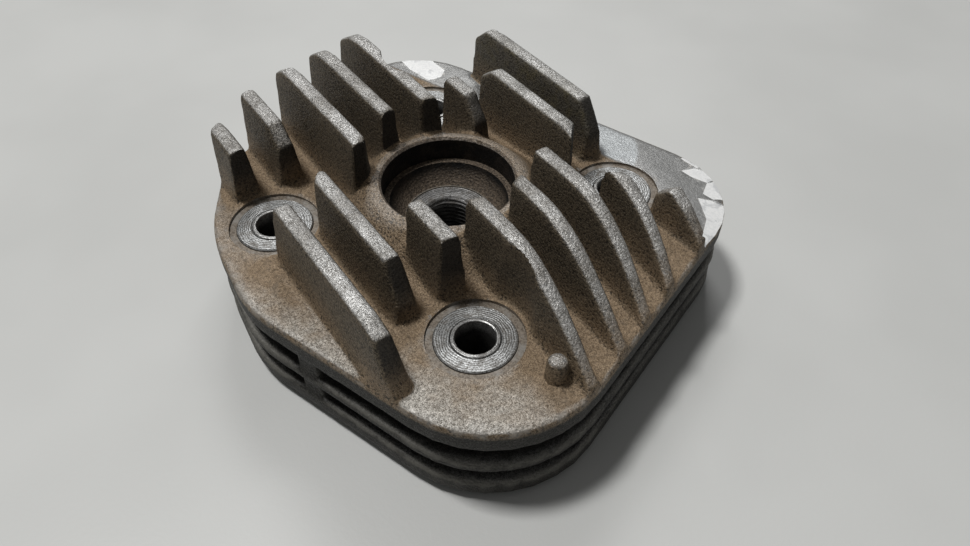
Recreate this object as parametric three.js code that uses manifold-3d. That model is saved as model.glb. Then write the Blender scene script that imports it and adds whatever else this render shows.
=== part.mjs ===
// Air-cooled cylinder head of a small single-cylinder engine, in millimetres, +Z up.
// The origin is on the spark plug's axis, on the plane that the head stands on.
import * as THREE from 'three';
import { mergeVertices } from 'three/addons/utils/BufferGeometryUtils.js';
import Module from 'manifold-3d';

// ---- driving dimensions ----
const HALF_LENGTH = 46.3; // plates, along X
const HALF_WIDTH = 42.3; // plates, along Y
const STUD_PITCH = 48; // side of the square of stud holes
const DECK = 20; // top face of the top plate
const LAND = 0.4; // bottom of the casting
const GAP = 0.3; // clearance between two pieces that touch

// horizontal plates: bottom, top and edge rounding
const PLATES = [
  { bottom: 1.3, top: 5.1, round: 0.6, roundSteps: 1 },
  { bottom: 8.3, top: 10.8, round: 0.6, roundSteps: 1 },
  { bottom: 14.8, top: DECK, round: 0.8, roundSteps: 2 },
];
const CORE = { radius: 31, top: 19 }; // the middle that carries the plates
const BOSS_RADIUS = 9.2; // round each stud hole, between the plates
const WEB = { width: 4.6, offset: 0.6, inner: 30, inset: 0.6, bottom: 1.8, top: 18.8 };

// studs
const STUD_HOLE_RADIUS = 3.56;
const SLEEVE = { outer: 4.3, bottom: 0.9, top: 20.05 };
const SPOTFACE = { radius: 8.7, z: 19.45 };
const WASHER = { outer: 7.25, bottom: 19, top: 19.85 };
const STUD_CLEARANCE = 9.8; // room for the nut's socket between the fins

// spark plug pocket, with the dome round it as [radius, z] points, and its threaded bush
const DOME = [[25, 19], [24, 20.2], [21, 21], [15.6, 26.2]];
const RIM = { outer: 14.2, inner: 12.9, z: 26.85, draft: 0.4 };
const LEDGE = { inner: 11.8, z: 21.6 };
const SEAT = { radius: 8.35, z: 17.9, thickness: 3 };
const BUSH = { radius: 6.4, bottom: 6.3, bore: 4.5, chamfer: 0.5 };
const PLUG_CLEARANCE = 15.4; // room for the plug's socket between the fins

// combustion chamber and the fire ring in its groove
const CHAMBER = { radius: 20, depth: 7.5, steps: 6 };
const FIRE_RING = { inner: 23.8, outer: 28, bottom: 0, top: 1.3 };

// fins: parallel rows, turned from the X axis
const FIN_ANGLE = THREE.MathUtils.degToRad(-19.08);
const ROW_PITCH = 9.2;
const ROW_SHIFT = 0.7;
const ROWS = 8;
const FIN = { baseHalf: 2.9, root: 1.5 };
const CROWN = [[1.75, -0.95], [1.47, -0.27], [0.85, 0]]; // half of a fin's crown, below its height
const PEG = { x: 44.8, y: -8.9, height: 4.5, top: 1.3, bottom: 1.8, steps: 10 };

// Each fin is a stretch of a row, measured along it. A fin falls away towards an end over
// the length given, down to the part of its height given. A fin with a ramp runs down to
// nothing over that length, growing thinner, and may curve off its row.
const FINS = [
  { row: 0, from: -44.4, to: -18, height: 11.7, startFall: 13, startLow: 0.1 },
  { row: 0, from: -14, to: 34, height: 12.3, startFall: 1.5, startLow: 0.8, endFall: 7, endLow: 0.1 },
  { row: 1, from: -48.6, to: -23.6, height: 13, startFall: 9, startLow: 0.2, endFall: 1.5, endLow: 0.7 },
  { row: 1, from: -12.8, to: 21, height: 12.5, startFall: 2, startLow: 0.8, endFall: 3, endLow: 0.3 },
  { row: 2, from: -48, to: -9, height: 15.6, startFall: 11, startLow: 0.2 },
  { row: 2, from: 9.5, to: 30, height: 14.7 },
  { row: 3, from: -51, to: 0, height: 15.3, startFall: 12, startLow: 0.2 },
  { row: 3, from: 0, to: 51.5, height: 14.7, ramp: 27, bend: 2 },
  { row: 4, from: -54, to: 0, height: 15, startFall: 13, startLow: 0.2 },
  { row: 4, from: 0, to: 48.5, height: 14.5, ramp: 28, bend: 2.4 },
  { row: 5, from: -30, to: -9.8, height: 13.4, endFall: 2, endLow: 0.6 },
  { row: 5, from: 9.4, to: 46.5, height: 13.9, ramp: 27, bend: 4.2 },
  { row: 6, from: -20.8, to: 13.5, height: 13.7, startFall: 1.5, startLow: 0.8, endFall: 6, endLow: 0.4 },
  { row: 6, from: 14.5, to: 44.5, height: 12.4, startFall: 1.5, startLow: 0.6, ramp: 26, bend: 5.5 },
  { row: 7, from: -36, to: 4.6, height: 13.2, startFall: 2, startLow: 0.75, endFall: 2.5, endLow: 0.5 },
  { row: 7, from: 24, to: 40, height: 9, startFall: 2.5, startLow: 0.5, ramp: 16, bend: 1.5 },
];
const BEND_START = 17; // where a curved fin leaves its row
const RAMP_TAPER = 0.45; // how much of its thickness a fin loses down its ramp
const TRIM_SCALE = 1 - 0.3 / HALF_WIDTH; // the fins end just inside the plates' edge

const ROUND_STEPS = 40; // sides of a large round
const SMALL_STEPS = 24; // sides of a small round
const OUTLINE_STEPS = 4; // half the sides of each outline corner
const FIN_STEP = 4.2; // longest side along a fin
const JOIN_DISTANCE = 0.02; // vertices closer than this become one
const OVERRUN = 5; // how far a cutting tool runs past the faces it cuts
const ABOVE_ALL = 2 * DECK; // a height above every fin

const STUDS = [
  { name: 'front', x: STUD_PITCH / 2, y: -STUD_PITCH / 2 },
  { name: 'right', x: STUD_PITCH / 2, y: STUD_PITCH / 2 },
  { name: 'back', x: -STUD_PITCH / 2, y: STUD_PITCH / 2 },
  { name: 'left', x: -STUD_PITCH / 2, y: -STUD_PITCH / 2 },
];

const wasm = await Module();
wasm.setup();

// ---- solids ----
function solid(geometry) {
  const bare = geometry.clone();
  bare.deleteAttribute('normal');
  bare.deleteAttribute('uv');
  const merged = mergeVertices(bare, 1e-4);
  return new wasm.Manifold(new wasm.Mesh({
    numProp: 3,
    vertProperties: new Float32Array(merged.attributes.position.array),
    triVerts: new Uint32Array(merged.index.array),
  }));
}

// Cuts leave a few vertices almost on top of each other: they are joined, and the
// triangles that collapse are dropped.
function toGeometry(manifold) {
  const mesh = manifold.getMesh();
  const raw = new THREE.BufferGeometry();
  raw.setAttribute('position', new THREE.BufferAttribute(mesh.vertProperties, 3));
  raw.setIndex(new THREE.BufferAttribute(mesh.triVerts, 1));
  const geometry = mergeVertices(raw, JOIN_DISTANCE);
  const kept = [];
  const index = geometry.index.array;
  for (let i = 0; i < index.length; i += 3) {
    const [a, b, c] = index.slice(i, i + 3);
    if (a !== b && b !== c && c !== a) kept.push(a, b, c);
  }
  geometry.setIndex(kept);
  geometry.computeVertexNormals();
  return geometry;
}

function unite(solids) {
  return solids.reduce((all, next) => all.add(next));
}

// A profile of [radius, z] points, turned about the Z axis. LatheGeometry turns about Y, so
// the result is tipped over.
function turned(profile, steps = ROUND_STEPS) {
  const points = profile.map(([r, z]) => new THREE.Vector2(r, z));
  return new THREE.LatheGeometry(points, steps).rotateX(Math.PI / 2);
}

function disc(radius, bottom, top, steps = SMALL_STEPS) {
  return turned([[0, bottom], [radius, bottom], [radius, top], [0, top]], steps);
}

function ring(inner, outer, bottom, top, steps = SMALL_STEPS) {
  const profile = [[inner, bottom], [outer, bottom], [outer, top], [inner, top], [inner, bottom]];
  return turned(profile, steps);
}

function prism(shape, bottom, top, round = 0, roundSteps = 1) {
  const geometry = new THREE.ExtrudeGeometry(shape, {
    depth: top - bottom - 2 * round,
    bevelEnabled: round > 0,
    bevelThickness: round,
    bevelSize: round,
    bevelOffset: -round,
    bevelSegments: roundSteps,
    curveSegments: OUTLINE_STEPS,
  });
  return geometry.translate(0, 0, bottom + round);
}

// ---- plate outline: a polygon with a radius at each corner ----
function roundedPolygon(corners) {
  const shape = new THREE.Shape();
  corners.forEach((corner, i) => {
    const here = new THREE.Vector2(corner.x, corner.y);
    const before = corners[(i + corners.length - 1) % corners.length];
    const after = corners[(i + 1) % corners.length];
    const toBefore = new THREE.Vector2(before.x, before.y).sub(here).normalize();
    const toAfter = new THREE.Vector2(after.x, after.y).sub(here).normalize();
    const half = Math.acos(toBefore.dot(toAfter)) / 2;
    const reach = corner.r / Math.tan(half);
    const start = here.clone().addScaledVector(toBefore, reach);
    const centre = toBefore.clone().add(toAfter).normalize()
      .multiplyScalar(corner.r / Math.sin(half)).add(here);
    const end = here.clone().addScaledVector(toAfter, reach);
    const a0 = Math.atan2(start.y - centre.y, start.x - centre.x);
    const a1 = Math.atan2(end.y - centre.y, end.x - centre.x);
    if (i === 0) shape.moveTo(start.x, start.y);
    else shape.lineTo(start.x, start.y);
    shape.absarc(centre.x, centre.y, corner.r, a0, a1, false);
  });
  shape.closePath();
  return shape;
}

// three full corners, and an oblique cut close round the left stud
function plateOutline() {
  return roundedPolygon([
    { x: HALF_LENGTH, y: -HALF_WIDTH, r: 22 },
    { x: HALF_LENGTH, y: HALF_WIDTH, r: 18 },
    { x: -HALF_LENGTH, y: HALF_WIDTH, r: 17 },
    { x: -HALF_LENGTH, y: -17, r: 14 },
    { x: -32.5, y: -33, r: 36 },
    { x: -12.5, y: -HALF_WIDTH, r: 26 },
  ]);
}

// ---- fins ----
function rowOffset(row) {
  return ROW_SHIFT + ROW_PITCH * (row - (ROWS - 1) / 2);
}

// the fin's section across its row: drafted sides and a crown with rounded edges
function finSection(height) {
  const right = CROWN.map(([across, below]) => new THREE.Vector2(across, height + below));
  const left = CROWN.map(([across, below]) => new THREE.Vector2(-across, height + below));
  return new THREE.Shape([
    new THREE.Vector2(-FIN.baseHalf, -FIN.root), new THREE.Vector2(FIN.baseHalf, -FIN.root),
    ...right, ...left.reverse(),
  ]);
}

// share of the full height that is left at a distance from an end
function fallShare(distance, length, low) {
  if (!length || distance >= length) return 1;
  const t = 1 - Math.max(distance, 0) / length;
  return low + (1 - low) * Math.sqrt(1 - t * t);
}

// the same for a ramp
function rampShare(distance, length) {
  if (!length || distance >= length) return 1;
  return Math.sin((Math.PI / 2) * Math.max(distance, 0) / length);
}

function bendAt(fin, along) {
  if (!fin.bend || along < BEND_START) return 0;
  const t = (along - BEND_START) / (fin.to - BEND_START);
  return -fin.bend * t * t;
}

function finGeometry(fin) {
  const length = fin.to - fin.from;
  const geometry = new THREE.ExtrudeGeometry(finSection(fin.height), {
    depth: length,
    steps: Math.ceil(length / FIN_STEP),
    bevelEnabled: false,
  });
  const position = geometry.attributes.position;
  for (let i = 0; i < position.count; i += 1) {
    const along = fin.from + position.getZ(i);
    const up = position.getY(i);
    const start = fallShare(along - fin.from, fin.startFall, fin.startLow);
    const end = fallShare(fin.to - along, fin.endFall, fin.endLow);
    const ramp = rampShare(fin.to - along, fin.ramp);
    const across = position.getX(i) * (1 - RAMP_TAPER * (1 - ramp));
    const z = up > 0 ? up * Math.min(start, end, ramp) : up;
    position.setXYZ(i, along, rowOffset(fin.row) + across + bendAt(fin, along), DECK + z);
  }
  return geometry.rotateZ(FIN_ANGLE);
}

function finBlock() {
  const fins = unite(FINS.map((fin) => solid(finGeometry(fin))));
  const rooms = STUDS.map((stud) => {
    const room = disc(STUD_CLEARANCE, 0, ABOVE_ALL, ROUND_STEPS);
    return solid(room.translate(stud.x, stud.y, 0));
  });
  rooms.push(solid(disc(PLUG_CLEARANCE, 0, ABOVE_ALL)));
  const edge = solid(prism(plateOutline(), 0, ABOVE_ALL).scale(TRIM_SCALE, TRIM_SCALE, 1));
  return fins.subtract(unite(rooms)).intersect(edge);
}

// a short cast stub beside the front stud
function peg() {
  const z = DECK - FIN.root;
  const top = DECK + PEG.height;
  const stub = turned([[0, z], [PEG.bottom, z], [PEG.top, top], [0, top]], PEG.steps);
  return stub.translate(PEG.x, PEG.y, 0).rotateZ(FIN_ANGLE);
}

// ---- casting ----
function core() {
  const bosses = STUDS.map((stud) => {
    const boss = disc(BOSS_RADIUS, LAND, CORE.top);
    return solid(boss.translate(stud.x, stud.y, 0));
  });
  return unite([solid(disc(CORE.radius, LAND, CORE.top, ROUND_STEPS)), ...bosses]);
}

// an upright web ties the plates together at the middle of each long side
function webs() {
  const depth = HALF_WIDTH - WEB.inset - WEB.inner;
  const height = WEB.top - WEB.bottom;
  return [-1, 1].map((side) => {
    const box = new THREE.BoxGeometry(WEB.width, depth, height);
    box.translate(-side * WEB.offset, side * (WEB.inner + depth / 2), WEB.bottom + height / 2);
    return solid(box);
  });
}

function dome() {
  return solid(turned([[0, DOME[0][1]], ...DOME, [RIM.outer, RIM.z], [0, RIM.z]]));
}

function plugPocket() {
  const bedBottom = SEAT.z - SEAT.thickness - GAP;
  return solid(turned([
    [0, -OVERRUN], [BUSH.radius + GAP, -OVERRUN], [BUSH.radius + GAP, bedBottom],
    [SEAT.radius + GAP, bedBottom], [SEAT.radius + GAP, SEAT.z], [LEDGE.inner, LEDGE.z],
    [RIM.inner, LEDGE.z], [RIM.inner + RIM.draft, RIM.z + OVERRUN], [0, RIM.z + OVERRUN],
  ]));
}

function studCut(stud) {
  return solid(turned([
    [0, -OVERRUN], [SLEEVE.outer + GAP, -OVERRUN], [SLEEVE.outer + GAP, WASHER.bottom - GAP],
    [WASHER.outer + GAP, WASHER.bottom - GAP], [WASHER.outer + GAP, SPOTFACE.z],
    [SPOTFACE.radius, SPOTFACE.z], [SPOTFACE.radius, DECK + OVERRUN], [0, DECK + OVERRUN],
  ], SMALL_STEPS).translate(stud.x, stud.y, 0));
}

// a shallow spherical roof over the bore
function chamber() {
  const radius = (CHAMBER.radius ** 2 + CHAMBER.depth ** 2) / (2 * CHAMBER.depth);
  const centre = LAND + CHAMBER.depth - radius;
  const profile = [[0, -OVERRUN], [CHAMBER.radius, -OVERRUN]];
  const widest = Math.asin(CHAMBER.radius / radius);
  for (let i = 0; i < CHAMBER.steps; i += 1) {
    const angle = widest * (1 - i / CHAMBER.steps);
    profile.push([radius * Math.sin(angle), centre + radius * Math.cos(angle)]);
  }
  profile.push([0, centre + radius]);
  return solid(turned(profile));
}

function ringGroove() {
  const { inner, outer, top } = FIRE_RING;
  return solid(ring(inner - GAP, outer + GAP, -OVERRUN, top + GAP, ROUND_STEPS));
}

function casting() {
  const outline = plateOutline();
  const plates = PLATES.map((p) => solid(prism(outline, p.bottom, p.top, p.round, p.roundSteps)));
  const body = unite([core(), ...plates, ...webs(), dome(), finBlock(), solid(peg())]);
  const cuts = unite([plugPocket(), chamber(), ringGroove(), ...STUDS.map(studCut)]);
  return toGeometry(body.subtract(cuts));
}

// ---- separate pieces ----
function threadBush() {
  const shoulder = SEAT.z - SEAT.thickness;
  const { radius, bottom, bore, chamfer } = BUSH;
  return turned([
    [bore, bottom], [radius, bottom], [radius, shoulder], [SEAT.radius, shoulder],
    [SEAT.radius, SEAT.z], [bore + chamfer, SEAT.z], [bore, SEAT.z - chamfer], [bore, bottom],
  ], SMALL_STEPS);
}

function fireRing() {
  return ring(FIRE_RING.inner, FIRE_RING.outer, FIRE_RING.bottom, FIRE_RING.top, ROUND_STEPS);
}

function piece(name, geometry, color, roughness, metalness) {
  const mesh = new THREE.Mesh(geometry, new THREE.MeshStandardMaterial({ color, roughness, metalness }));
  mesh.name = name;
  return mesh;
}

const head = new THREE.Group();
head.add(piece('head_casting', casting(), 0x7d7468, 0.7, 0.6));
head.add(piece('plug_thread_bush', threadBush(), 0x8d8f90, 0.4, 0.9));
head.add(piece('fire_ring', fireRing(), 0xa8704a, 0.45, 0.9));
for (const stud of STUDS) {
  const washer = ring(SLEEVE.outer + GAP, WASHER.outer, WASHER.bottom, WASHER.top);
  const sleeve = ring(STUD_HOLE_RADIUS, SLEEVE.outer, SLEEVE.bottom, SLEEVE.top);
  const seat = piece(`stud_washer_${stud.name}`, washer, 0xb4b5b6, 0.35, 0.9);
  const liner = piece(`stud_sleeve_${stud.name}`, sleeve, 0x9fa1a3, 0.4, 0.9);
  seat.position.set(stud.x, stud.y, 0);
  liner.position.set(stud.x, stud.y, 0);
  head.add(seat, liner);
}

export default head;
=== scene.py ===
"""Looks of the cylinder head: a rough cast body with turned seats, sleeves, a threaded bush and a ring."""
import math
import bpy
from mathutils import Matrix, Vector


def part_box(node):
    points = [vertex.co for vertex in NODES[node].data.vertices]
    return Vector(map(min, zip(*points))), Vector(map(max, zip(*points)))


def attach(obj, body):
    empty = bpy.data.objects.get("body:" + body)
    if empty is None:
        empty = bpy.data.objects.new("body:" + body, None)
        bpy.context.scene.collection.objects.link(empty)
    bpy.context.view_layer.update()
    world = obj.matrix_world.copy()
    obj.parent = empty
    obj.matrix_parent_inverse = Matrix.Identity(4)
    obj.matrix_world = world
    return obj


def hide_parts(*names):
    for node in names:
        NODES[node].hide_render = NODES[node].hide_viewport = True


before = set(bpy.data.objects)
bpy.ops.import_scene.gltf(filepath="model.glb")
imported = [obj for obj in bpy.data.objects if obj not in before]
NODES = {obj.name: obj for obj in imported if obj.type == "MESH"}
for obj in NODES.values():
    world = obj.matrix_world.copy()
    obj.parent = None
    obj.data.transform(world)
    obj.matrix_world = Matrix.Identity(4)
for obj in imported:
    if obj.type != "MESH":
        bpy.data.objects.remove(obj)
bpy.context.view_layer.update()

from types import SimpleNamespace

import bmesh
import bpy
import numpy as np
from mathutils import Matrix, Vector

MM = 0.001

# ---- places, taken from the frame ----
STUD_NAMES = ("front", "right", "back", "left")
BUSH_LOW, BUSH_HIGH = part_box("plug_thread_bush")
RING_LOW, RING_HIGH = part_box("fire_ring")
WASHER_LOW, WASHER_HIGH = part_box("stud_washer_front")
SLEEVE_LOW, SLEEVE_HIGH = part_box("stud_sleeve_front")
WASHER_RADIUS = (WASHER_HIGH.x - WASHER_LOW.x) / 2
SLEEVE_RADIUS = (SLEEVE_HIGH.x - SLEEVE_LOW.x) / 2
BUSH_RADIUS = (BUSH_HIGH.x - BUSH_LOW.x) / 2
RING_RADIUS = (RING_HIGH.x - RING_LOW.x) / 2
SEAT_Z = BUSH_HIGH.z
DECK_Z = WASHER_HIGH.z + 0.15 * MM
BELOW_ALL = -5 * MM

# ---- shapes of the turned pieces ----
STUD_HOLE_RADIUS = 3.56 * MM
SPOTFACE_RADIUS = 8.7 * MM
SPOTFACE_Z = DECK_Z - 0.55 * MM
PLAY = 0.1 * MM  # round the washers, the sleeves and the bush
WASHER_HOLE_RADIUS = SLEEVE_RADIUS + PLAY
WASHER_EDGE = 0.18 * MM
WASHER_GROOVES = {"pitch": 0.40 * MM, "depth": 0.022 * MM}
WASHER_BED_GAP = 0.25 * MM
SLEEVE_LIP = 0.22 * MM
PLUG_BORE_RADIUS = 4.5 * MM
THREAD_PITCH = 1.0 * MM
THREAD_DEPTH = 0.55 * MM
THREAD_START = 0.02 * MM  # how far below the bush's top face the bore's first ring lies
THREAD_STEPS = 96
ROWS_PER_PITCH = 8
BUSH_SHANK_RADIUS = 6.4 * MM
BUSH_FLANGE = 3.0 * MM
BUSH_EDGE = 0.25 * MM
BUSH_MOUTH = 0.7 * MM
BUSH_GROOVES = {"pitch": 0.5 * MM, "depth": 0.06 * MM}
RING_HOLE_RADIUS = 23.8 * MM
RING_EDGE = 0.3 * MM
ROUND_STEPS = 128

# ---- the bored plug pocket: wall, ledge and the cone down to the bush ----
POCKET_RADIUS = 12.9 * MM
POCKET_CHAMFER = 0.5 * MM
POCKET_RIM_Z = DECK_Z + 6.85 * MM
LEDGE_RADIUS = 11.7 * MM
LEDGE_Z = DECK_Z + 1.6 * MM
CONE_DEPTH = 1.7 * MM
CONE_FOOT_GAP = 0.5 * MM

# ---- shape of the casting's skin ----
VOXEL = 0.42 * MM
FILLET_STEPS = 16
SOFTENING = 0.6
CREST_SHARE = 0.12  # how much of the softening reaches outer edges, against 1 in the roots
WAVE = {"scale": 5.5 * MM, "height": 0.12 * MM}
GRAIN = {"scale": 1.1 * MM, "height": 0.08 * MM}
NOISE_MIDDLE = 0.55
RELIEF_STEPS = {"edge": 5, "crest": 30}
CAST_FACES = 180_000
WELD = 0.001 * MM
PEG_PLACE = (39.4 * MM, -23.05 * MM)
PEG_RADIUS = 1.75 * MM
PEG_HEIGHT = 4.9 * MM
PEG_STEPS = 32
PEG_ROUNDING = (0, 0.35, 0.65, 0.9)  # shares of a quarter turn
PEG_FLATNESS = 0.5
SHARP_ANGLE = math.radians(38)
SKIN, TURNED, FILED = range(3)  # material slots of the casting

# Facets filed on the plate: corners as (x, y) in mm, and how deep the file went at each.
FACETS = [
    [(32.4, 37.2, 0.02), (34.4, 36.5, 0.0), (38.4, 36.7, 0.05), (40.2, 41.5, 0.9), (34.0, 40.0, 0.35)],
    [(38.4, 36.7, 0.05), (39.2, 33.0, 0.0), (41.6, 32.6, 0.1), (46.5, 36.5, 0.9), (41.5, 42.0, 1.1)],
    [(39.0, 31.2, 0.0), (41.5, 32.3, 0.15), (47.5, 33.0, 1.1), (46.5, 27.5, 0.7), (43.2, 26.2, 0.05)],
    [(43.0, 26.4, 0.05), (46.0, 27.4, 0.6), (48.0, 21.0, 0.9), (45.2, 18.4, 0.1), (44.4, 21.4, 0.0)],
    [(30.5, 40.8, 0.0), (34.5, 39.9, 0.1), (36.5, 43.5, 0.8), (31.0, 44.0, 0.6)],
    [(-44.4, 36.6, 0.3), (-38.2, 33.9, 0.2), (-31.2, 32.7, 0.0), (-29.8, 35.6, 0.0), (-31.0, 38.6, 0.15),
     (-37.0, 40.6, 0.35), (-45.0, 43.0, 0.9)],
]

# ---- where the casting's layers of dirt, wear and painted shade lie: from where they start to where they are full ----
FIN_ANGLE = math.radians(19.09)  # the fins' rows are turned by this from the square of studs
SMOOTH_ROW_BACK = (21 * MM, 24 * MM)
SMOOTH_ROW_RIGHT = (13 * MM, 8 * MM)
SANDY_FROM = (36 * MM, 50 * MM)
SANDY_RAGGEDNESS = 26 * MM
DOME_RADIUS = (25 * MM, 23 * MM)
STRIP_Y = (31.5 * MM, 32.5 * MM)
STRIP_ROW_BACK = (34.2 * MM, 35 * MM)
STRIP_X = (25 * MM, 27 * MM)
STRIP_SWEEP_CENTRE = (8 * MM, 30 * MM)
STRIP_SWEEP_RADIUS = (15.5 * MM, 16.3 * MM)
POCKET_DIRT_AND_SHADE_RADIUS = (13.6 * MM, POCKET_RADIUS)

# ---- colours: the two that a layer is mottled between, or one colour ----
FLANK = (0.040, 0.031, 0.021), (0.195, 0.158, 0.110)
FLANK_STAIN = (0.140, 0.108, 0.072)
OLIVE = (0.115, 0.105, 0.085), (0.135, 0.115, 0.065)
# painted shade for the fin ends that face away from the lamps
FIN_END_SHADE = (0.022, 0.020, 0.018)
DUST = (0.150, 0.104, 0.060), (0.405, 0.300, 0.196)
SAND = (0.165, 0.146, 0.118), (0.840, 0.800, 0.735)
DECK_STAIN = (0.120, 0.098, 0.075)
PIT = (0.016, 0.013, 0.010)
STRIP = (0.36, 0.375, 0.38), (0.245, 0.245, 0.24)  # inside the cutter's sweep, and outside it
BELOW_DECK_DARK = (0.012, 0.011, 0.009), (0.060, 0.056, 0.048)
# soot deepened with painted shade, for the pocket's walls
WALL_SOOT_AND_SHADE = (0.004, 0.0035, 0.003), (0.030, 0.022, 0.016)
LEDGE = (0.050, 0.038, 0.027), (0.185, 0.142, 0.102)
WORN = (0.27, 0.265, 0.25), (0.78, 0.775, 0.76)
RIM = (0.36, 0.34, 0.31)
LOW_RIM = (0.26, 0.25, 0.22)
BED = (0.125, 0.100, 0.076), (0.285, 0.245, 0.200)
BED_BARE = (0.34, 0.33, 0.31)
FRESH_METAL = (0.88, 0.89, 0.89), (1.0, 1.0, 0.99)
FILE_SHADE = (0.52, 0.53, 0.54)
BUSH_METAL = (0.13, 0.128, 0.124), (0.44, 0.435, 0.43)
COPPER = (0.20, 0.10, 0.06), (0.42, 0.24, 0.15)
WASHER_METAL = (0.11, 0.107, 0.100), (0.59, 0.60, 0.60)
SLEEVE_METAL = (0.16, 0.158, 0.155), (0.50, 0.50, 0.49)
GRIME = (0.10, 0.085, 0.068)
# painted shade deep in bores and low on the turned pieces
BORE_SHADE = (0.016, 0.014, 0.012)
FLOOR = (0.600, 0.605, 0.590), (0.650, 0.655, 0.640)

# ---- camera and lights ----
CAMERA_PLACE = (0.07315, -0.09088, 0.12252)
LOOK_DIRECTION = (-0.3991, 0.5641, -0.7228)
CAMERA_ROLL = math.radians(0.57)
CAMERA_NEAR = 0.005
LENS = 28.95
SENSOR = 36
FLOOR_HALF = 3.0
LIGHTS_AIM = (0, 0, 0.01)
WINDOW = {"place": (-0.46, -0.17, 1.45), "size": 0.24, "power": 14.0, "color": (1, 0.995, 0.985)}
BACK_WINDOW = {"place": (-0.75, 1.05, 1.35), "size": 0.6, "power": 8.0, "color": (1, 1, 1)}
ROOM = {"color": (0.80, 0.80, 0.79, 1), "strength": 0.16}


def stud_centre(name):
    low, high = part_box(f"stud_washer_{name}")
    return Vector(((low.x + high.x) / 2, (low.y + high.y) / 2, 0))


# ---- mesh helpers ----
def new_object(name, data):
    obj = bpy.data.objects.new(name, data)
    bpy.context.scene.collection.objects.link(obj)
    return obj


def mesh_from(name, verts, faces):
    mesh = bpy.data.meshes.new(name)
    mesh.from_pydata([tuple(v) for v in verts], [], faces)
    mesh.validate()
    mesh.update()
    return mesh


def ring(radius_at, z, centre, steps):
    """Points round the vertical line through centre. radius_at gives the radius at a share of the turn."""
    verts = []
    for i in range(steps):
        radius = radius_at(i / steps)
        angle = 2 * math.pi * i / steps
        verts.append((
            centre[0] + radius * math.cos(angle),
            centre[1] + radius * math.sin(angle),
            centre[2] + z,
        ))
    return verts


def skinned(name, rings, steps):
    """A closed solid over a loop of rings. A ring of a single point lies on the axis."""
    verts = []
    rows = []
    for points_of_ring in rings:
        first = len(verts)
        verts += points_of_ring
        rows.append([first + i % len(points_of_ring) for i in range(steps)])
    faces = []
    for row, after in zip(rows, rows[1:] + rows[:1]):
        for i in range(steps):
            j = (i + 1) % steps
            corners = list(dict.fromkeys((row[i], row[j], after[j], after[i])))
            if len(corners) > 2:
                faces.append(corners)
    return new_object(name, mesh_from(name, verts, faces))


def turned(name, profile, centre=(0, 0, 0), steps=ROUND_STEPS):
    """A closed solid: a loop of (radius, z) points turned about Z. A radius of 0 lies on the axis."""
    rings = []
    for radius, z in profile:
        count = steps if radius else 1
        rings.append(ring(lambda turn, radius=radius: radius, z, centre, count))
    return skinned(name, rings, steps)


def applied(obj):
    """obj with its modifiers made real."""
    graph = bpy.context.evaluated_depsgraph_get()
    mesh = bpy.data.meshes.new_from_object(obj.evaluated_get(graph))
    obj.modifiers.clear()
    obj.data = mesh
    return obj


def boolean(obj, tools, operation):
    """Joins the tools to obj or cuts them from it, and uses them up."""
    for tool in tools:
        step = obj.modifiers.new(operation, "BOOLEAN")
        step.operation = operation
        step.solver = "MANIFOLD"
        step.object = tool
    applied(obj)
    for tool in tools:
        bpy.data.objects.remove(tool)


def slotted(tool, materials, slot):
    """tool, so that the faces it cuts take the material in this slot."""
    for material in materials:
        tool.data.materials.append(material)
    tool.data.polygons.foreach_set("material_index", [slot] * len(tool.data.polygons))
    return tool


def shade(obj):
    obj.data.shade_smooth()
    obj.data.set_sharp_from_angle(angle=SHARP_ANGLE)


def make_outward(obj):
    """obj with every face turned outwards."""
    bm = bmesh.new()
    bm.from_mesh(obj.data)
    bmesh.ops.recalc_face_normals(bm, faces=bm.faces)
    bm.to_mesh(obj.data)
    bm.free()
    return obj


def points(mesh):
    flat = np.empty(len(mesh.vertices) * 3)
    mesh.vertices.foreach_get("co", flat)
    return flat.reshape(-1, 3)


def edges(mesh):
    flat = np.empty(len(mesh.edges) * 2, dtype=np.int64)
    mesh.edges.foreach_get("vertices", flat)
    return flat.reshape(-1, 2)


def normals(mesh):
    flat = np.empty(len(mesh.vertices) * 3)
    mesh.vertex_normals.foreach_get("vector", flat)
    return flat.reshape(-1, 3)


def neighbour_mean(values, pairs):
    """Each point's mean over the points it shares an edge with."""
    count = len(values)
    first, second = pairs.T
    degree = np.bincount(first, minlength=count) + np.bincount(second, minlength=count)
    columns = [
        np.bincount(first, values[second, k], count) + np.bincount(second, values[first, k], count)
        for k in range(values.shape[1])
    ]
    return np.stack(columns, 1) / np.maximum(degree, 1)[:, None]


# ---- casting: the tools that shape it ----
def welded_copy(node, name):
    """A copy of a CAD node's mesh, with its doubled points made one."""
    bm = bmesh.new()
    bm.from_mesh(NODES[node].data)
    bmesh.ops.remove_doubles(bm, verts=bm.verts, dist=WELD)
    mesh = bpy.data.meshes.new(name)
    bm.to_mesh(mesh)
    bm.free()
    mesh.materials.clear()
    return new_object(name, mesh)


def plug(radius, low, high, centre=(0, 0, 0)):
    return turned("fill", [(0, low), (radius, low), (radius, high), (0, high)], centre)


def recess_fills():
    """Plugs that fill the round recesses, so that they can be cut sharp after the skin is softened."""
    spot_radius = SPOTFACE_RADIUS + 0.5 * MM
    spot_low = DECK_Z - 4 * MM
    fills = [plug(spot_radius, spot_low, DECK_Z, stud_centre(name)) for name in STUD_NAMES]
    fills.append(plug(POCKET_RADIUS + 0.6 * MM, SEAT_Z - 2 * MM, POCKET_RIM_Z))
    return fills


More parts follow.
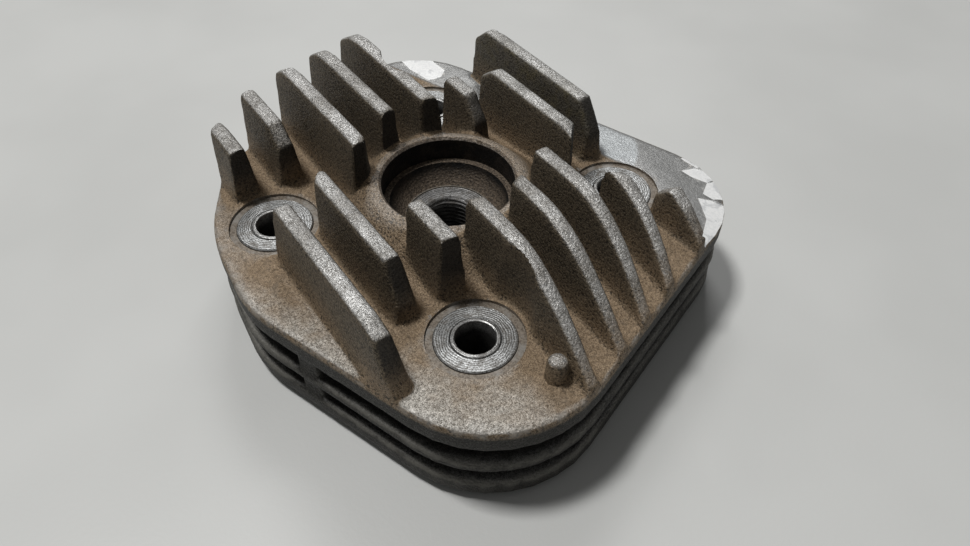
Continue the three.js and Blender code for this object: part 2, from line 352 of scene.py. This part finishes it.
def peg():
    """The small round-headed peg beside the front stud hole."""
    low = DECK_Z - 0.5 * MM
    top = DECK_Z + PEG_HEIGHT
    profile = [(0, low), (PEG_RADIUS + 0.5 * MM, low), (PEG_RADIUS + 0.2 * MM, DECK_Z + 0.5 * MM)]
    for share in PEG_ROUNDING:
        turn = share * math.pi / 2
        drop = PEG_RADIUS * (1 - math.sin(turn)) * PEG_FLATNESS
        profile.append((PEG_RADIUS * math.cos(turn), top - drop))
    profile.append((0, top))
    return turned("peg", profile, (*PEG_PLACE, 0), PEG_STEPS)


def stud_cutter(name):
    """The spotface, the washer's bed and the sleeve's bore, as one turned tool."""
    bore = SLEEVE_RADIUS + PLAY
    bed = WASHER_RADIUS + PLAY
    bed_z = WASHER_LOW.z - WASHER_BED_GAP
    flare = SPOTFACE_RADIUS + 0.5 * MM
    top = DECK_Z + 6 * MM
    return turned("cut", [
        (0, BELOW_ALL), (bore, BELOW_ALL), (bore, bed_z), (bed, bed_z), (bed, SPOTFACE_Z),
        (SPOTFACE_RADIUS, SPOTFACE_Z), (SPOTFACE_RADIUS, DECK_Z + 0.1 * MM), (flare, top), (0, top),
    ], stud_centre(name))


def bush_cutter():
    """The bed that the threaded bush sits in."""
    radius = BUSH_RADIUS + PLAY
    shank = BUSH_SHANK_RADIUS + PLAY
    shoulder = SEAT_Z - BUSH_FLANGE - PLAY
    top = SEAT_Z + 0.1 * MM
    return turned("cut", [
        (0, BELOW_ALL), (shank, BELOW_ALL), (shank, shoulder), (radius, shoulder), (radius, top), (0, top),
    ])


def pocket_cutter():
    """The pocket round the plug: wall, ledge and cone."""
    foot = SEAT_Z - 0.02 * MM
    top = POCKET_RIM_Z + 3 * MM
    return turned("cut", [
        (0, foot), (BUSH_RADIUS + CONE_FOOT_GAP, foot),
        (LEDGE_RADIUS - 0.5 * MM, LEDGE_Z - CONE_DEPTH), (LEDGE_RADIUS, LEDGE_Z),
        (POCKET_RADIUS, LEDGE_Z + 0.1 * MM), (POCKET_RADIUS, POCKET_RIM_Z - POCKET_CHAMFER),
        (POCKET_RADIUS + POCKET_CHAMFER, POCKET_RIM_Z), (POCKET_RADIUS + 2 * POCKET_CHAMFER, top), (0, top),
    ])


def facet_cutter(corners):
    """A block above the plate whose sloping underside takes the facet off."""
    top = DECK_Z + 3 * MM
    low = [(x * MM, y * MM, DECK_Z - depth * MM) for x, y, depth in corners]
    high = [(x, y, top) for x, y, _ in low]
    centre = [sum(corner[k] for corner in low) / len(low) for k in range(3)]
    count = len(low)
    faces = [tuple(range(count, 2 * count))]
    for i in range(count):
        j = (i + 1) % count
        faces.append((i, j, count + j, count + i))
        faces.append((j, i, 2 * count))
    return make_outward(new_object("facet", mesh_from("facet", [*low, *high, centre], faces)))


# ---- casting: its skin ----
def remesh(obj):
    step = obj.modifiers.new("skin", "REMESH")
    step.mode = "VOXEL"
    step.voxel_size = VOXEL
    applied(obj)


def fill_roots(obj):
    """Fills every root and eases every edge, as a sand mould leaves them."""
    mesh = obj.data
    pairs = edges(mesh)
    for _ in range(FILLET_STEPS):
        here = points(mesh)
        move = neighbour_mean(here, pairs) - here
        outward = (move * normals(mesh)).sum(1) > 0
        share = SOFTENING * np.where(outward, 1, CREST_SHARE)
        mesh.vertices.foreach_set("co", (here + move * share[:, None]).ravel())
        mesh.update()


def roughen(obj):
    """The slow waves and the fine grain of a sand-cast surface."""
    for name, noise in (("wave", WAVE), ("grain", GRAIN)):
        texture = bpy.data.textures.new(name, "CLOUDS")
        texture.noise_scale = noise["scale"]
        texture.noise_depth = 2
        step = obj.modifiers.new(name, "DISPLACE")
        step.texture = texture
        step.texture_coords = "LOCAL"
        step.strength = noise["height"]
        step.mid_level = NOISE_MIDDLE
    applied(obj)


def thin_out(obj, faces):
    obj.data.calc_loop_triangles()
    count = len(obj.data.loop_triangles)
    if count > faces:
        step = obj.modifiers.new("thin", "DECIMATE")
        step.ratio = faces / count
        applied(obj)


def note_relief(obj):
    """Stores how far each point stands out of its surroundings, for wear on crests and rims."""
    mesh = obj.data
    pairs = edges(mesh)
    outward = normals(mesh)
    start = points(mesh)
    here = start
    for name, steps in RELIEF_STEPS.items():
        for _ in range(steps):
            here = neighbour_mean(here, pairs)
        relief = ((start - here) * outward).sum(1) / MM
        layer = mesh.attributes.new(name, "FLOAT", "POINT")
        layer.data.foreach_set("value", relief.astype(np.float32))


def casting(materials):
    obj = welded_copy("head_casting", "casting_skin")
    boolean(obj, recess_fills(), "UNION")
    remesh(obj)
    fill_roots(obj)
    roughen(obj)
    thin_out(obj, CAST_FACES)
    boolean(obj, [peg()], "UNION")
    obj.data.materials.clear()
    for material in materials:
        obj.data.materials.append(material)
    tools = [slotted(stud_cutter(name), materials, TURNED) for name in STUD_NAMES]
    tools += [slotted(pocket_cutter(), materials, SKIN), slotted(bush_cutter(), materials, TURNED)]
    tools += [slotted(facet_cutter(corners), materials, FILED) for corners in FACETS]
    boolean(obj, tools, "DIFFERENCE")
    note_relief(obj)
    shade(obj)
    return obj


# ---- turned pieces ----
def grooved(inner, outer, z, pitch, depth):
    """Points across a flat face from outer to inner, with fine turning grooves."""
    count = max(int((outer - inner) / pitch), 1) * 2
    across = []
    for i in range(count, -1, -1):
        radius = inner + (outer - inner) * i / count
        dip = depth if i % 2 else 0
        across.append((radius, z - dip))
    return across


def washer(name):
    low, high = WASHER_LOW.z, WASHER_HIGH.z
    shoulder = high - WASHER_EDGE
    face = grooved(WASHER_HOLE_RADIUS + WASHER_EDGE, WASHER_RADIUS - WASHER_EDGE, high, **WASHER_GROOVES)
    return turned(f"washer_{name}", [
        (WASHER_HOLE_RADIUS, low), (WASHER_RADIUS, low), (WASHER_RADIUS, shoulder), *face,
        (WASHER_HOLE_RADIUS, shoulder),
    ], stud_centre(name))


def sleeve(name):
    low, high = SLEEVE_LOW.z, SLEEVE_HIGH.z
    eased = 0.3 * SLEEVE_LIP
    return turned(f"sleeve_{name}", [
        (STUD_HOLE_RADIUS, low), (SLEEVE_RADIUS, low), (SLEEVE_RADIUS, high - SLEEVE_LIP),
        (SLEEVE_RADIUS - eased, high - eased), (SLEEVE_RADIUS - SLEEVE_LIP, high),
        (STUD_HOLE_RADIUS + SLEEVE_LIP, high), (STUD_HOLE_RADIUS + eased, high - eased),
        (STUD_HOLE_RADIUS, high - SLEEVE_LIP),
    ], stud_centre(name))


def thread_ring(z, drop=0):
    """One ring of the bore's thread, widened by the chamfer near the top, and lowered by drop."""
    chamfer = max(0, BUSH_MOUTH - (BUSH_HIGH.z - z))

    def radius_at(turn):
        phase = ((z - BUSH_LOW.z) / THREAD_PITCH - turn) % 1
        groove = THREAD_DEPTH * (1 - abs(2 * phase - 1))
        return PLUG_BORE_RADIUS + max(groove, chamfer)

    return ring(radius_at, z - drop, (0, 0, 0), THREAD_STEPS)


def thread_bush():
    """A flanged bush whose bore is a true helical thread."""
    low, high = BUSH_LOW.z, BUSH_HIGH.z
    shoulder = high - BUSH_FLANGE
    outside = [
        (BUSH_SHANK_RADIUS, low), (BUSH_SHANK_RADIUS, shoulder), (BUSH_RADIUS, shoulder),
        (BUSH_RADIUS, high - BUSH_EDGE),
        *grooved(PLUG_BORE_RADIUS + BUSH_MOUTH, BUSH_RADIUS - BUSH_EDGE, high, **BUSH_GROOVES),
    ]
    rings = [ring(lambda turn, radius=radius: radius, z, (0, 0, 0), THREAD_STEPS) for radius, z in outside]
    rows = int((high - low) / THREAD_PITCH * ROWS_PER_PITCH)
    rings.append(thread_ring(high, THREAD_START))
    rings += [thread_ring(high - (high - low) * k / rows) for k in range(1, rows + 1)]
    return skinned("thread_bush", rings, THREAD_STEPS)


def seal_ring():
    low, high = RING_LOW.z, RING_HIGH.z
    return turned("seal_ring", [
        (RING_HOLE_RADIUS + RING_EDGE, low), (RING_RADIUS - RING_EDGE, low), (RING_RADIUS, low + RING_EDGE),
        (RING_RADIUS, high - RING_EDGE), (RING_RADIUS - RING_EDGE, high),
        (RING_HOLE_RADIUS + RING_EDGE, high), (RING_HOLE_RADIUS, high - RING_EDGE),
        (RING_HOLE_RADIUS, low + RING_EDGE),
    ])


# ---- material helpers ----
class Nodes:
    """Short names for building a node material."""

    def __init__(self, name):
        self.material = bpy.data.materials.new(name)
        self.material.use_nodes = True
        self.tree = self.material.node_tree
        self.shader = self.tree.nodes["Principled BSDF"]

    def add(self, kind, **settings):
        node = self.tree.nodes.new(kind)
        for key, value in settings.items():
            setattr(node, key, value)
        return node

    def feed(self, socket, value):
        if isinstance(value, bpy.types.NodeSocket):
            self.tree.links.new(value, socket)
        elif isinstance(value, (tuple, list)) and len(value) == 3 and socket.type == "RGBA":
            socket.default_value = (*value, 1)
        else:
            socket.default_value = value

    def place(self):
        return self.add("ShaderNodeTexCoord").outputs["Object"]

    def xyz(self, vector):
        node = self.add("ShaderNodeSeparateXYZ")
        self.feed(node.inputs[0], vector)
        return node.outputs

    def attribute(self, name):
        return self.add("ShaderNodeAttribute", attribute_name=name).outputs["Fac"]

    def math(self, operation, a, b=0.0):
        node = self.add("ShaderNodeMath", operation=operation)
        self.feed(node.inputs[0], a)
        self.feed(node.inputs[1], b)
        return node.outputs[0]

    def plus(self, a, b):
        return self.math("ADD", a, b)

    def minus(self, a, b):
        return self.math("SUBTRACT", a, b)

    def times(self, *values):
        product = values[0]
        for value in values[1:]:
            product = self.math("MULTIPLY", product, value)
        return product

    def from_axis(self, x, y):
        """Distance from the vertical line at x = y = 0."""
        return self.math("SQRT", self.plus(self.times(x, x), self.times(y, y)))

    def ramp(self, value, low, high, out_low=0.0, out_high=1.0):
        node = self.add("ShaderNodeMapRange", interpolation_type="SMOOTHSTEP")
        for socket, item in zip(node.inputs, (value, low, high, out_low, out_high)):
            self.feed(socket, item)
        return node.outputs[0]

    def noise(self, size, detail=3.0, rough=0.55, distortion=0.0):
        node = self.add("ShaderNodeTexNoise")
        self.feed(node.inputs["Vector"], self.place())
        node.inputs["Scale"].default_value = 1 / size
        node.inputs["Detail"].default_value = detail
        node.inputs["Roughness"].default_value = rough
        node.inputs["Distortion"].default_value = distortion
        return node.outputs["Fac"]

    def mix(self, amount, a, b):
        """Two colours mixed."""
        node = self.add("ShaderNodeMix", data_type="RGBA")
        self.feed(node.inputs["Factor"], amount)
        self.feed(node.inputs[6], a)
        self.feed(node.inputs[7], b)
        return node.outputs[2]

    def blend(self, amount, a, b):
        """Two numbers mixed."""
        node = self.add("ShaderNodeMix", data_type="FLOAT")
        self.feed(node.inputs["Factor"], amount)
        self.feed(node.inputs[2], a)
        self.feed(node.inputs[3], b)
        return node.outputs[0]

    def bump(self, height, distance, strength=1.0, under=None):
        node = self.add("ShaderNodeBump")
        node.inputs["Strength"].default_value = strength
        node.inputs["Distance"].default_value = distance
        self.feed(node.inputs["Height"], height)
        if under is not None:
            self.feed(node.inputs["Normal"], under)
        return node.outputs[0]

    def out(self, **sockets):
        names = {"color": "Base Color", "metal": "Metallic", "rough": "Roughness", "normal": "Normal"}
        for key, value in sockets.items():
            self.feed(self.shader.inputs[names[key]], value)
        return self.material


# ---- cast metal, layer by layer ----
def cast_signals(n):
    """What steers the layers: place, facing, relief and noise."""
    x, y, z = n.xyz(n.place())
    grit = n.noise(0.20 * MM, 2.0, 0.7)
    grain = n.noise(0.45 * MM, 3.0, 0.65)
    return SimpleNamespace(
        x=x,
        y=y,
        radius=n.from_axis(x, y),
        height=n.minus(z, DECK_Z),
        facing=n.xyz(n.add("ShaderNodeNewGeometry").outputs["Normal"]),
        row_right=n.plus(n.times(x, math.cos(FIN_ANGLE)), n.times(y, -math.sin(FIN_ANGLE))),
        row_back=n.plus(n.times(x, math.sin(FIN_ANGLE)), n.times(y, math.cos(FIN_ANGLE))),
        edge=n.attribute("edge"),
        crest=n.attribute("crest"),
        grit=grit,
        grain=grain,
        fine=n.plus(n.times(grit, 0.6), n.times(grain, 0.4)),
        blotch=n.noise(3.2 * MM, 3.0, 0.6),
        patch=n.noise(11 * MM, 4.0, 0.6, 0.4),
        pebble=n.noise(0.46 * MM, 1.0, 0.5),
    )


def dust_layer(n, s):
    return n.mix(n.ramp(s.fine, 0.35, 0.65), *DUST)


def flank_layer(n, s):
    """Flanks of the fins: dark and pebbled, with painted shade making the ends that face +X near-black, and
    dust low down.
    """
    color = n.mix(n.ramp(s.fine, 0.38, 0.62), *FLANK)
    color = n.mix(n.ramp(s.patch, 0.45, 0.7, 0, 0.5), color, FLANK_STAIN)
    smooth_rows = n.times(n.ramp(s.row_back, *SMOOTH_ROW_BACK), n.ramp(s.row_right, *SMOOTH_ROW_RIGHT))
    color = n.mix(n.times(smooth_rows, 0.75), color, n.mix(n.ramp(s.blotch, 0.4, 0.7), *OLIVE))
    # painted shade: fin ends facing +X, away from the lamps, are painted near-black
    shaded_ends = n.times(n.ramp(s.facing[0], 0.55, 0.85), n.ramp(s.height, 0.5 * MM, 3 * MM))
    color = n.mix(n.times(shaded_ends, 0.8), color, FIN_END_SHADE)
    low = n.times(n.ramp(s.height, 8 * MM, 0.5 * MM), n.ramp(s.patch, 0.3, 0.6, 0.35, 0.8))
    return n.mix(low, color, dust_layer(n, s))


def sandiness(n, s):
    """1 on the open front and left of the deck and 0 among the fins, with a ragged border."""
    front = n.minus(n.times(s.row_right, 0.55), s.row_back)
    ragged = n.plus(front, n.times(n.minus(s.patch, 0.5), SANDY_RAGGEDNESS))
    return n.ramp(ragged, *SANDY_FROM)


def deck_mask(n, s):
    upward = n.ramp(s.facing[2], 0.6, 0.92)
    return n.times(upward, n.ramp(s.height, 3.5 * MM, 1.2 * MM), n.ramp(s.height, -1 * MM, -0.4 * MM))


def deck_layer(n, s, sandy):
    """The deck: tan dust among the fins, sandy silver where it is open."""
    sand = n.mix(n.ramp(s.fine, 0.36, 0.64), *SAND)
    color = n.mix(sandy, dust_layer(n, s), sand)
    return n.mix(n.ramp(s.blotch, 0.55, 0.8, 0, 0.5), color, DECK_STAIN)


def dome_mask(n, s):
    upward = n.ramp(s.facing[2], 0.35, 0.6)
    return n.times(n.ramp(s.radius, *DOME_RADIUS), upward, n.ramp(s.height, 8 * MM, 7 * MM))


def strip_mask(n, s):
    """The machined strip along the back, past the fins."""
    beside = n.times(n.ramp(s.row_back, *STRIP_ROW_BACK), n.ramp(s.x, *STRIP_X))
    past_fins = n.math("MAXIMUM", n.ramp(s.y, *STRIP_Y), beside)
    level = n.times(n.ramp(s.height, 1.5 * MM, 0.6 * MM), n.ramp(s.height, -0.8 * MM, -0.5 * MM))
    return n.times(past_fins, n.ramp(s.facing[2], 0.8, 0.95), level)


def strip_layer(n, s):
    """Two greys that meet along the arc that a cutter swept."""
    centre_x, centre_y = STRIP_SWEEP_CENTRE
    sweep = n.from_axis(n.minus(s.x, centre_x), n.minus(s.y, centre_y))
    return n.mix(n.ramp(sweep, *STRIP_SWEEP_RADIUS), *STRIP)


def pocket_layer(n, s):
    """The plug pocket: walls near-black with soot and painted shade, and a dusty ledge."""
    # painted shade: the pocket's sideways walls are painted near-black, soot deepened by the shade of the
    # recess
    wall = n.minus(1, n.ramp(s.facing[2], 0.35, 0.75))
    wall_soot_and_shade = n.mix(n.ramp(s.blotch, 0.42, 0.68), *WALL_SOOT_AND_SHADE)
    ledge = n.mix(n.ramp(s.grain, 0.35, 0.65), *LEDGE)
    return n.mix(wall, ledge, wall_soot_and_shade)


def wear_mask(n, s, mottled):
    """Crests of the fins and outer edges, mostly where they face up and stand high."""
    proud = n.math("MAXIMUM", n.ramp(s.crest, 0.2, 0.65), n.times(n.ramp(s.edge, 0.08, 0.26), 0.7))
    open_top = n.times(n.ramp(s.facing[2], 0.5, 0.95), n.ramp(s.height, -0.2 * MM, 9 * MM, 0.3, 1))
    off_dome = n.ramp(s.radius, 15.5 * MM, 17 * MM, 0.35, 1)
    scuffed = n.ramp(s.patch, 0.35, 0.65, 0.6, 1)
    return n.times(proud, open_top, off_dome, scuffed, n.blend(mottled, 0.5, 1))


def rim_layer(n, s, color, below):
    """Rubbed rims of the top plate and, fainter, of the plates under it."""
    level = n.times(n.ramp(s.height, -1.6 * MM, -0.6 * MM), n.ramp(s.height, 0.4 * MM, -0.2 * MM))
    rim = n.times(n.ramp(s.edge, 0.07, 0.2), level, n.ramp(s.blotch, 0.4, 0.6), 0.6)
    low_rim = n.times(n.ramp(s.edge, 0.08, 0.2), below, n.ramp(s.facing[2], -0.2, 0.5), 0.5)
    return n.mix(low_rim, n.mix(rim, color, RIM), LOW_RIM)


def cast_metal():
    """Sand-cast aluminium: dust in the valleys, dark flanks, and crests worn bright."""
    n = Nodes("cast_aluminium")
    s = cast_signals(n)
    sandy = sandiness(n, s)
    on_deck = deck_mask(n, s)
    strip = strip_mask(n, s)
    below = n.ramp(s.height, -0.9 * MM, -1.8 * MM)
    uneven = n.plus(s.fine, n.times(n.minus(s.blotch, 0.5), 0.25))
    mottled = n.ramp(uneven, 0.34, 0.6)
    worn = wear_mask(n, s, mottled)

    color = n.mix(on_deck, flank_layer(n, s), deck_layer(n, s, sandy))
    color = n.mix(n.times(dome_mask(n, s), 0.85), color, dust_layer(n, s))
    pits = n.ramp(s.pebble, 0.44, 0.35)
    color = n.mix(n.times(pits, n.blend(on_deck, 0.75, 0.3)), color, PIT)
    color = n.mix(strip, color, strip_layer(n, s))
    # near-black and mottled on everything more than about 1.8 mm below the deck
    color = n.mix(below, color, n.mix(n.ramp(s.fine, 0.4, 0.65), *BELOW_DECK_DARK))
    # the pocket: soot and painted shade on its walls, dust on its ledge
    color = n.mix(n.ramp(s.radius, *POCKET_DIRT_AND_SHADE_RADIUS), color, pocket_layer(n, s))
    color = n.mix(worn, color, n.mix(mottled, *WORN))
    color = rim_layer(n, s, color, below)

    metal = n.blend(worn, n.blend(n.times(on_deck, sandy), 0.3, 0.45), 0.75)
    rough = n.blend(worn, n.ramp(s.fine, 0.3, 0.7, 0.72, 0.48), 0.38)
    relief = n.blend(strip, 1, 0.15)
    coarse = n.bump(n.times(s.pebble, relief), 0.26 * MM, 0.9)
    return n.out(
        color=color,
        metal=n.math("MAXIMUM", metal, n.times(strip, 0.7)),
        rough=n.blend(strip, rough, 0.38),
        normal=n.bump(n.times(s.grit, relief), 0.16 * MM, 0.9, coarse),
    )


# ---- the other materials ----
def bed_metal():
    """The machined beds under the washers and the bush: dull, with brown dirt."""
    n = Nodes("machined_bed")
    fine = n.noise(0.35 * MM, 3.0, 0.7)
    blotch = n.noise(2.5 * MM, 3.0, 0.6)
    color = n.mix(n.ramp(fine, 0.35, 0.65), *BED)
    color = n.mix(n.ramp(blotch, 0.45, 0.7, 0, 0.6), color, BED_BARE)
    return n.out(color=color, metal=0.3, rough=0.55, normal=n.bump(fine, 0.06 * MM, 0.7))


def filed_metal():
    """Fresh metal where a file has been."""
    n = Nodes("filed_aluminium")
    fine = n.noise(0.5 * MM, 3.0, 0.65)
    blotch = n.noise(3 * MM, 3.0, 0.6, 0.5)
    color = n.mix(n.ramp(fine, 0.35, 0.65), *FRESH_METAL)
    color = n.mix(n.ramp(blotch, 0.52, 0.64, 0, 0.6), color, FILE_SHADE)
    rough = n.ramp(blotch, 0.4, 0.7, 0.3, 0.5)
    return n.out(color=color, metal=0.1, rough=rough, normal=n.bump(fine, 0.05 * MM, 0.5))


def turned_metal(name, shades, top, centre=(0, 0, 0), pitch=0.42 * MM, rough=0.34, dirt=0.35):
    """Bright metal with rings about centre, dirt in patches, and painted shade in the bore, darker well
    below the top.
    """
    n = Nodes(name)
    shift = n.add("ShaderNodeVectorMath", operation="SUBTRACT")
    n.feed(shift.inputs[0], n.place())
    shift.inputs[1].default_value = tuple(centre)
    x, y, z = n.xyz(shift.outputs[0])
    uneven = n.times(n.noise(3 * MM, 3.0), 0.9 * MM)
    rings = n.math("SINE", n.times(n.plus(n.from_axis(x, y), uneven), 2 * math.pi / pitch))
    fine = n.noise(0.3 * MM, 3.0, 0.7)
    patches = n.noise(2.0 * MM, 4.0, 0.65, 0.6)
    tone = n.plus(fine, n.times(rings, 0.08))
    color = n.mix(n.ramp(tone, 0.3, 0.7), *shades)
    color = n.mix(n.ramp(patches, 0.46, 0.68, 0, dirt), color, GRIME)
    # painted shade: darker the further below the piece's top
    color = n.mix(n.ramp(z, top - 0.7 * MM, top - 3 * MM, 0, 0.85), color, BORE_SHADE)
    height = n.plus(n.times(rings, 0.5), fine)
    roughness = n.ramp(patches, 0.3, 0.8, rough, rough + 0.3)
    return n.out(color=color, metal=0.75, rough=roughness, normal=n.bump(height, 0.04 * MM, 0.7))


def floor_paint():
    n = Nodes("pale_floor")
    fine = n.noise(1.0 * MM, 3.0, 0.6)
    broad = n.noise(60 * MM, 3.0, 0.5)
    color = n.mix(n.ramp(broad, 0.3, 0.7), *FLOOR)
    return n.out(color=color, metal=0.0, rough=0.45, normal=n.bump(fine, 0.06 * MM, 0.4))


# ---- assembly ----
def join_frame(obj, node):
    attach(obj, "root")
    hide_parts(node)


def dress(obj, material, node):
    """Gives a turned piece its material, and puts it in the place of its CAD node."""
    shade(obj)
    obj.data.materials.clear()
    obj.data.materials.append(material)
    join_frame(obj, node)


def build_stud_seat(name):
    centre = stud_centre(name)
    bright = turned_metal(f"washer_metal_{name}", WASHER_METAL, WASHER_HIGH.z, centre, dirt=0.6)
    satin = turned_metal(f"sleeve_metal_{name}", SLEEVE_METAL, SLEEVE_HIGH.z, centre)
    dress(washer(name), bright, f"stud_washer_{name}")
    dress(sleeve(name), satin, f"stud_sleeve_{name}")


def build_head():
    skin = casting([cast_metal(), bed_metal(), filed_metal()])
    join_frame(skin, "head_casting")
    dull = turned_metal("bush_metal", BUSH_METAL, SEAT_Z, pitch=BUSH_GROOVES["pitch"], rough=0.4, dirt=0.6)
    dress(thread_bush(), dull, "plug_thread_bush")
    copper = turned_metal("ring_metal", COPPER, RING_HIGH.z, rough=0.4)
    dress(seal_ring(), copper, "fire_ring")
    for name in STUD_NAMES:
        build_stud_seat(name)


# ---- stage ----
def camera():
    data = bpy.data.cameras.new("camera")
    data.lens = LENS
    data.sensor_width = SENSOR
    data.clip_start = CAMERA_NEAR
    obj = new_object("camera", data)
    turn = Vector(LOOK_DIRECTION).to_track_quat("-Z", "Y").to_matrix().to_4x4()
    obj.matrix_world = Matrix.Translation(CAMERA_PLACE) @ turn @ Matrix.Rotation(CAMERA_ROLL, 4, "Z")
    bpy.context.scene.camera = obj


def area_light(name, place, size, power, color):
    data = bpy.data.lights.new(name, "AREA")
    data.shape = "SQUARE"
    data.size = size
    data.energy = power
    data.color = color
    obj = new_object(name, data)
    obj.location = place
    obj.rotation_euler = (Vector(LIGHTS_AIM) - Vector(place)).to_track_quat("-Z", "Y").to_euler()


def floor():
    half = FLOOR_HALF
    corners = [(-half, -half, 0), (half, -half, 0), (half, half, 0), (-half, half, 0)]
    obj = new_object("floor", mesh_from("floor", corners, [(0, 1, 2, 3)]))
    obj.data.materials.append(floor_paint())


def room():
    world = bpy.data.worlds.new("studio")
    world.use_nodes = True
    background = world.node_tree.nodes["Background"]
    background.inputs["Color"].default_value = ROOM["color"]
    background.inputs["Strength"].default_value = ROOM["strength"]
    bpy.context.scene.world = world
    bpy.context.scene.view_settings.view_transform = "Standard"


camera()
floor()
area_light("window", **WINDOW)
area_light("back_window", **BACK_WINDOW)
room()
build_head()
